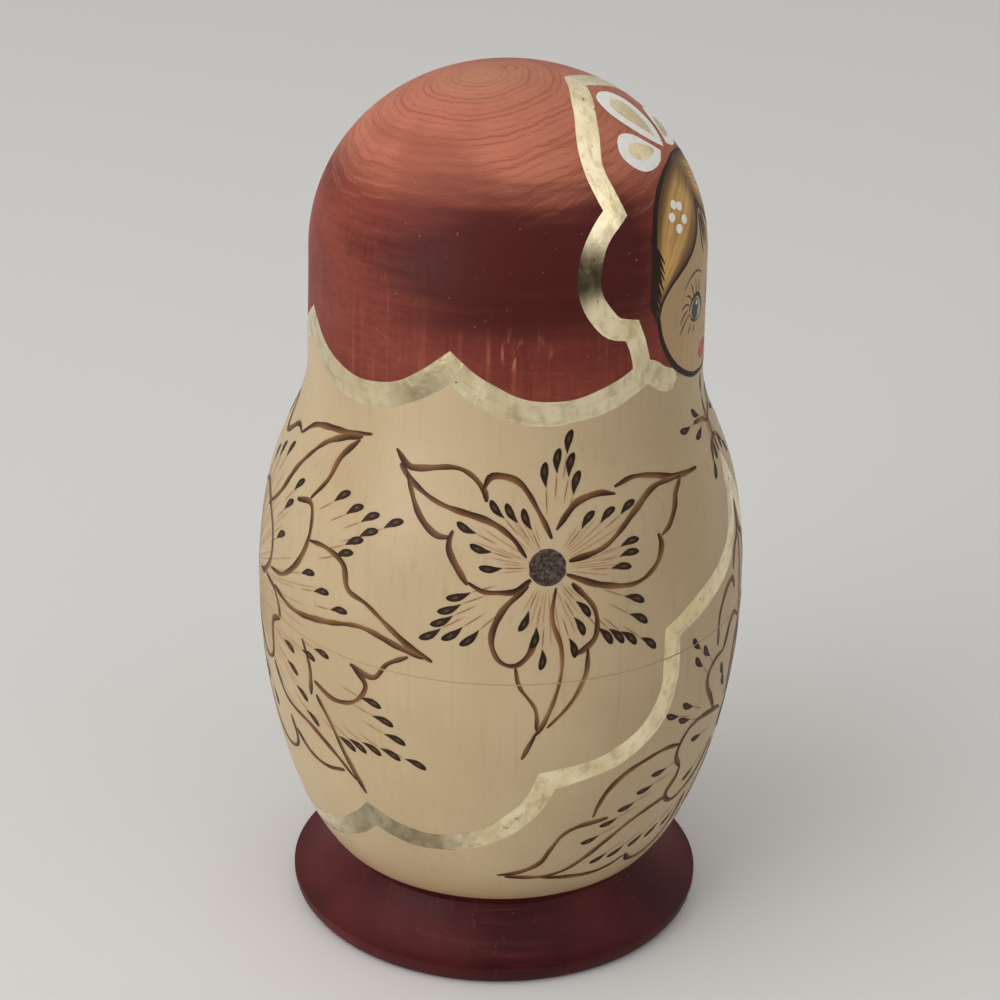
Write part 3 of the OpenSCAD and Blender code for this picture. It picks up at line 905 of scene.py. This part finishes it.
for flip in (False, True):
    for points in front_strokes:
        stroke(placed(points, 0, 0, 1, flip))
    for x, y in front_dabs + front_fans:
        sway = -x if flip else x
        front_dab(sway, y, (math.radians(sway) * 46, y - front_rise))
heart_disc(hearts, 0, front_rise, math.degrees(1 / 45.7), 3.6, 0.85)
stroke([(0, 41), (0, 52), (0, 60), (0, 68), (0, 78)], 1.2, 0.5)
stroke([(0, 33), (0, 24), (0, 15), (0, 9.5)], 1.2, 0.5)
root = [(-12, 16.5), (-7.5, 11), (-2.5, 8.4), (0, 7.2)]
stroke(root)
stroke(flipped(root))

sprig_stem = [
    [(0, 96), (0.4, 102), (0, 108)],
    [(0, 103), (-5, 104.6), (-11, 105.4)],
    [(0, 100), (-4, 98.6), (-6.5, 96.2)],
]
for points in sprig_stem:
    stroke(points, 0.9, 0.5)
    stroke(mirrored(points), 0.9, 0.5)
for x, y, aim_x, aim_y in (
    (-16.5, 105.6, -1, 0.1), (-8.6, 107, -1, 0.7), (-9.3, 103, -1, -0.3), (-7.6, 94.6, -0.6, -1),
    (-3.2, 97.6, -0.2, -1),
):
    front_dab(x, y, (aim_x, aim_y))
    front_dab(-x, y, (-aim_x, aim_y))
front_dab(0, 111, (0, 1))

back_heart = (-14, -6)
back_half = [
    [(2, 29), (7, 32.4), (13.5, 34), (20.7, 35), (28.7, 36.5)],
    [(-3.8, 11), (2.5, 16.5), (7, 24), (13.5, 30.6), (20.7, 34), (26, 35.4)],
    [(25.3, 34.7), (20.7, 30), (19, 24.7), (15.3, 19.7)],
    [(10.7, 18), (16.2, 18.8), (17.8, 13), (15.3, 6.5), (9.8, 1.5), (3.5, 0.2)],
    [(18, 12), (23.5, 12.3), (28.5, 10.6), (30.3, 6), (35, 4.3), (40, 1), (44.4, -2), (49.3, -4.6)],
    [(6, -2.5), (15, -4), (25, -2.5), (34, -0.7), (42, -2.6), (47.5, -4.2)],
    [(44.4, -4.4), (40, -7), (37, -10.7), (31.6, -9.4)],
    [(32, -9.4), (35.3, -13), (32.5, -17.5), (27, -19), (21.6, -17)],
    [(18, -9), (20.3, -14.4), (20.3, -20.7)],
    [(22, -20), (25.7, -25), (28.5, -30.7), (30.3, -34), (33.2, -39.7)],
    [(5, -20), (10, -26), (19, -28.5), (26, -32.5), (31, -37)],
    [(28, -35.7), (22.5, -37), (17, -36), (12.5, -32.5)],
    [(10.7, -30), (12, -34.4), (10.7, -37.5), (6, -39), (1.6, -37), (-3, -31), (-7, -22)],
    [(-14, 12), (-8.4, 14.3), (-2, 11.6), (2.5, 7.5), (3, 2), (-1, -2.5), (-4.7, -3.5)],
    [(0.7, -2.4), (6.2, -3.5), (9, -8), (5.3, -10.7), (4.8, -18), (1.6, -20.5), (-2, -19.4), (-8, -13)],
    [(-14, 33), (-9, 26), (-2, 29.6), (2, 29)],
]
back_dabs = [
    (-9, 20), (-5, 22.5), (0, 24.5), (10, 20.5), (8, 15.5), (7, 8.5), (19, 5.3), (23.5, 3), (28.5, 0.8),
    (24, -10), (20, -12), (13, -13), (14, -17.5), (17, -22), (20, -26.5), (-3, -26), (2, -30),
]
back_fans = [
    (24.8, 23), (29, 21.5), (33.3, 21), (39, 21), (33.6, 18), (30.5, 15.5), (28.5, 12.5), (36.4, -16.6),
    (39, -20), (41.5, -23.6), (45.7, -28.5), (40.3, -27.5), (36, -27.5), (32.5, -28), (29.8, -28.5),
]
back_unit = math.degrees(1 / 49.34)
back_turn, back_rise = -149 + back_heart[0] * back_unit, 71.5 + back_heart[1]


def from_heart(points):
    return [(x - back_heart[0], y - back_heart[1]) for x, y in points]


for flip in (False, True):
    flower(
        [from_heart(points) for points in back_half], from_heart(back_dabs), from_heart(back_fans),
        back_turn, back_rise, back_unit, flip,
    )
heart_disc(hearts, back_turn, back_rise, back_unit, 3.8, 0.8)
lay_on_dolls("burnt_flowers", burnt, lacquered)

stippled, tree, shader = new_finish("stippled_heart")
stipple_place = add_node(tree, "ShaderNodeTexCoord").outputs["Object"]
stipple = speckled(tree, stipple_place, 1500, 2.0)
heart_tone = mixed(tree, spread(tree, stipple, 0.36, 0.66), (0.032, 0.020, 0.015), (0.105, 0.073, 0.058))
heart_tone = over(tree, heart_tone, stipple, 0.66, 0.74, 0.7, (0.30, 0.235, 0.19))
heart_sheen = spread(tree, stipple, 0.3, 0.7, 0.35, 0.55)
finished(tree, shader, heart_tone, heart_sheen, 0.2, stipple, 0.4, 0.0002)
lay_on_dolls("flower_hearts", hearts, stippled)


# Face: an ochre wash on the bare wood, brown hair combed down from a parting, features drawn with a fine brush.
# White petals with gold leaf centres and five white dots a side dress the hair. The paint is thin and dull.
def add_fill(layer, points, lift, tones=(1, 1, 1), step=0.9):
    path, _ = drawn(list(points) + [points[0]], step)
    middle = path[:-1].mean(0)
    at = np.empty((len(tones), len(path), 3))
    for row, share in enumerate(np.linspace(0, 1, len(tones))):
        at[row, :, :2] = middle + share * (path - middle)
        at[row, :, 2] = lift
    add_grid(layer, at, np.array(tones)[:, None])


def add_strip(layer, first, second, lift, columns, step, tone=1.0):
    lines = [drawn(points, step)[0] for points in (first, second)]
    count = max(len(line) for line in lines)
    pick = np.linspace(0, 1, count)
    one, other = (
        np.column_stack([np.interp(pick, np.linspace(0, 1, len(line)), line[:, i]) for i in (0, 1)])
        for line in lines
    )
    at = np.empty((count, columns, 3))
    for column, share in enumerate(np.linspace(0, 1, columns)):
        at[:, column, :2] = one + share * (other - one)
        at[:, column, 2] = lift
    add_grid(layer, at, tone)


cheek_line = [
    (-1.6, 114.5), (-10.1, 115.4), (-16.2, 117.3), (-21.6, 120), (-25.5, 123.1), (-28.5, 126.9),
    (-29.9, 130.8), (-28.6, 134), (-24, 137.2), (-18, 139.4), (-12, 141.2), (-7, 143.6), (-2.5, 147),
]
face_wash = {"upper": new_layer()}
add_strip(face_wash["upper"], cheek_line, flipped(cheek_line), 0.032, 33, 0.8)
ochre, tree, shader = new_finish("ochre_wash")
grain = grained(tree)
skin = mixed(tree, spread(tree, grain["Mottle"], 0.3, 0.7), (0.455, 0.305, 0.150), (0.520, 0.365, 0.190))
skin = over(tree, skin, grain["Fibre"], 0.55, 0.8, 0.35, (0.36, 0.225, 0.10))
skin_sheen = spread(tree, grain["Fibre"], 0.3, 0.8, 0.38, 0.5)
finished(tree, shader, skin, skin_sheen, 0.15, grain["Fibre"], 0.15, 0.0001)
lay_on_dolls("face_wash", face_wash, ochre)

hair_crown = [
    (-30.6, 131), (-32.8, 134), (-32.4, 138.5), (-30.8, 144.6), (-27.8, 150), (-22.4, 154.2), (-14.7, 156.9),
    (-7, 158.1), (0, 158.8),
]
hair_edge = [
    (-29.9, 130.6), (-28.6, 133.8), (-25.2, 136.4), (-20.8, 138.1), (-14.7, 140), (-10.5, 141.6),
    (-6.8, 143.6), (-3, 146.4), (0, 149),
]
hair_paint = {"upper": new_layer()}
for flip in (False, True):
    sides = [flipped(line) if flip else line for line in (hair_crown, hair_edge)]
    add_strip(hair_paint["upper"], *sides, 0.045, 13, 0.8)
brown_hair, tree, shader = new_finish("brown_hair_paint")
strands = add_node(tree, "ShaderNodeUVMap", uv_map="strands").outputs["UV"]
strand_fine = speckled(tree, strands, 1.0, 3.0, (46, 5, 1))
strand_broad = speckled(tree, strands, 1.0, 2.0, (9, 2.2, 1))
hair = mixed(tree, spread(tree, strand_broad, 0.3, 0.7), (0.45, 0.240, 0.070), (0.74, 0.450, 0.155))
hair = over(tree, hair, strand_fine, 0.52, 0.75, 0.55, (0.14, 0.06, 0.020))
hair = over(tree, hair, strand_fine, 0.46, 0.30, 0.5, (0.82, 0.54, 0.21))
strand_across = add_node(tree, "ShaderNodeSeparateXYZ")
tree.links.new(strands, strand_across.inputs["Vector"])
strand_edge = reckoned(tree, "ABSOLUTE", reckoned(tree, "SUBTRACT", strand_across.outputs["X"], 0.5))
hair = over(tree, hair, strand_edge, 0.16, 0.48, 0.94, (0.050, 0.021, 0.009))
hair = over(tree, hair, strand_across.outputs["Y"], 0.80, 1.0, 0.75, (0.075, 0.033, 0.013))
tip = spread(tree, strand_across.outputs["Y"], 0.30, 0.04)
tip = both(tree, tip, spread(tree, strand_fine, 0.36, 0.58, 0.55, 1.0))
hair = mixed(tree, tip, hair, (0.070, 0.030, 0.012))
hair_sheen = spread(tree, strand_fine, 0.3, 0.7, 0.36, 0.5)
finished(tree, shader, hair, hair_sheen, 0.15, strand_fine, 0.2, 0.0001)
lay_on_dolls("hair", hair_paint, brown_hair)

face_lines = {"upper": new_layer()}
brush_lift = (0.06,) * 5


def brush(points, width, tone=0.97, end=0.25):
    path, far = drawn(points, 0.5)
    ends = np.minimum(far, far[-1] - far)
    taper = end + (1 - end) * np.minimum(1, ends / (0.35 * far[-1] + 0.01)) ** 0.7
    add_ribbon(face_lines, path, width * taper, tone, line_across, (1,) * 5, brush_lift)


for flip in (False, True):
    def pair(points):
        return flipped(points) if flip else points

    brush(pair(hair_crown), 1.1, 0.97, 0.5)
    brush(pair(hair_edge), 0.75, 0.95, 0.5)
    brush(pair([(0, 114.3), (-5, 114.7)] + cheek_line[1:7]), 1.15, 1.0, 0.7)
    for share in range(20):
        lead = 134.2 + 0.62 * share
        out = np.interp(lead, [p[1] for p in hair_crown[:4]], [p[0] for p in hair_crown[:4]])
        sway = 0.9 * math.sin(2.4 * share)
        tuft = [(out - 0.7, lead + 1.2), (out + 0.5, lead - 1.0), (out + 2.6 + sway, lead - 4.4 - 0.5 * sway)]
        brush(pair(tuft), 0.62, 0.95)
    brush(pair([(-0.6, 147.5), (-2.4, 144), (-3.2, 141), (-2.2, 138.6)]), 0.9)
    brush(pair([(-0.3, 146), (-0.8, 142.7), (-0.5, 140)]), 0.7)
    brush(pair([(-13.9, 129.2), (-11.6, 131.2), (-7.8, 131.5), (-4.8, 129.8), (-3.5, 126.9)]), 0.85)
    brush(pair([(-14.2, 128.7), (-10.8, 126.6), (-6.2, 126.3), (-3.8, 127.4)]), 0.4, 0.7)
    for lash in (
        [(-14.6, 129.6), (-17, 129.2), (-19.4, 127.6)],
        [(-14.2, 128.6), (-16.6, 127.4), (-19.6, 125.4)],
        [(-13.8, 130.4), (-16.2, 131), (-18.8, 130.4)],
        [(-12.6, 131.2), (-14.4, 132.4), (-16.4, 132.8)],
        [(-11, 131.8), (-12, 133.4), (-13.4, 134.6)],
        [(-9, 132), (-9.4, 133.6), (-10, 135)],
        [(-6.9, 131.5), (-6.6, 132.9), (-6.6, 134.2)],
        [(-12.6, 126.4), (-14.2, 124.6)],
        [(-9.8, 125.6), (-10.6, 124.2)],
    ):
        brush(pair(lash), 0.36, 0.82)
    brush(pair([(-17.6, 134.2), (-13.2, 136.1), (-8.5, 136.4), (-4.6, 135)]), 0.5, 0.66)
lay_on_dolls("face_lines", face_lines, lacquered)

small_paints = {}
for paint, points, lift in (
    ("eye_white", [
        (-14, 128.9), (-11.6, 131), (-7.8, 131.3), (-4.8, 129.6), (-3.7, 127.2), (-6.2, 126.4),
        (-10.8, 126.7),
    ], 0.048),
    ("iris_green", [
        (-12.2, 128.7), (-11.4, 130.5), (-9.5, 131.1), (-7.6, 130.4), (-6.9, 128.6), (-7.8, 127),
        (-9.5, 126.5), (-11.3, 127),
    ], 0.052),
    ("pupil_black", [
        (-11.4, 128.8), (-10.7, 130.2), (-9.4, 130.5), (-8.1, 129.8), (-7.7, 128.5), (-8.6, 127.3),
        (-9.9, 127), (-11.1, 127.6),
    ], 0.056),
    ("white", [
        (-9.2, 129.9), (-8.6, 130.4), (-8, 129.9), (-8.6, 129.3),
    ], 0.066),
):
    layer = small_paints.setdefault(paint, {"upper": new_layer()})["upper"]
    add_fill(layer, points, lift, step=0.5)
    add_fill(layer, flipped(points), lift, step=0.5)
lips = [
    (-5.4, 118.6), (-3.2, 120.1), (-1.2, 120.5), (0, 120), (1.2, 120.5), (3.2, 120.1), (5.4, 118.6), (3, 117),
    (0, 116.4), (-3, 117),
]
small_paints["lip_red"] = {"upper": new_layer()}
add_fill(small_paints["lip_red"]["upper"], lips, 0.05, step=0.5)
small_paints["nose_pink"] = {"upper": new_layer()}
for x in (-1.5, 1.5):
    nostril = [(x - 0.9, 122.6), (x, 123.2), (x + 0.9, 122.6), (x, 122.1)]
    add_fill(small_paints["nose_pink"]["upper"], nostril, 0.05, step=0.4)
for side_x in (-1, 1):
    for x, y in ((-16.8, 151), (-13.9, 150.2), (-19.8, 149), (-17.6, 146.4), (-13.4, 147.5)):
        ring = np.linspace(0, 2 * math.pi, 13)[:-1]
        spot = [(side_x * x + 1.75 * math.cos(a), y + 0.92 * math.sin(a)) for a in ring]
        add_fill(small_paints["white"]["upper"], spot, 0.075, step=0.5)
side_petal = [
    (-4.6, 160.8), (-9.6, 163.8), (-15, 166.5), (-21.2, 167.3), (-25.8, 166.2), (-28.5, 163.5),
    (-26.5, 160.8), (-21.9, 158.9), (-15.8, 158.6), (-9.6, 159.3),
]
side_centre = [(-23.8, 163.5), (-21.2, 164.6), (-15.8, 164.5), (-8.5, 161.8), (-15.8, 160.9), (-21.9, 161.5)]
top_petal = [
    (0, 160.9), (-5.8, 163.5), (-11.9, 167.7), (-15.2, 172.3), (-12, 175.8), (-5, 176.9), (2.7, 176.7),
    (9.8, 175.2), (13, 171.8), (9.6, 166.9), (4.6, 163.1),
]
top_centre = [
    (-0.6, 163.5), (-6.2, 167.7), (-9, 170.8), (-7.6, 173.5), (-1, 174.3), (5, 173.3), (6.2, 170.4),
    (3, 166.2),
]
petal_gold = {"upper": new_layer()}
petal_turn = -2.0
for petal, centre, flip in (
    (side_petal, side_centre, False), (side_petal, side_centre, True), (top_petal, top_centre, False),
):
    for layer, points, lift, tones in (
        (small_paints["white"]["upper"], petal, 0.07, (1,) * 6), (petal_gold["upper"], centre, 0.085, (0,) * 4),
    ):
        add_fill(layer, [(petal_turn + (-x if flip else x), y) for x, y in points], lift, tones)

for paint, tone, shade in (
    ("white", (0.96, 0.945, 0.895), (0.89, 0.865, 0.805)),
    ("eye_white", (0.44, 0.36, 0.25), (0.36, 0.28, 0.18)),
    ("iris_green", (0.062, 0.078, 0.058), (0.028, 0.036, 0.027)),
    ("pupil_black", (0.015, 0.014, 0.014), (0.03, 0.028, 0.026)),
    ("lip_red", (0.46, 0.045, 0.03), (0.33, 0.03, 0.022)),
    ("nose_pink", (0.50, 0.17, 0.10), (0.44, 0.15, 0.09)),
):
    material, tree, shader = new_finish(paint + "_paint")
    paint_place = add_node(tree, "ShaderNodeTexCoord").outputs["Object"]
    streak = speckled(tree, paint_place, 700, 3.0)
    colour = mixed(tree, spread(tree, streak, 0.35, 0.7), tone, shade)
    finished(tree, shader, colour, spread(tree, streak, 0.3, 0.7, 0.34, 0.46), 0.2, streak, 0.2, 0.0001)
    lay_on_dolls(paint, small_paints[paint], material)
lay_on_dolls("petal_gold", petal_gold, gold_leaf)
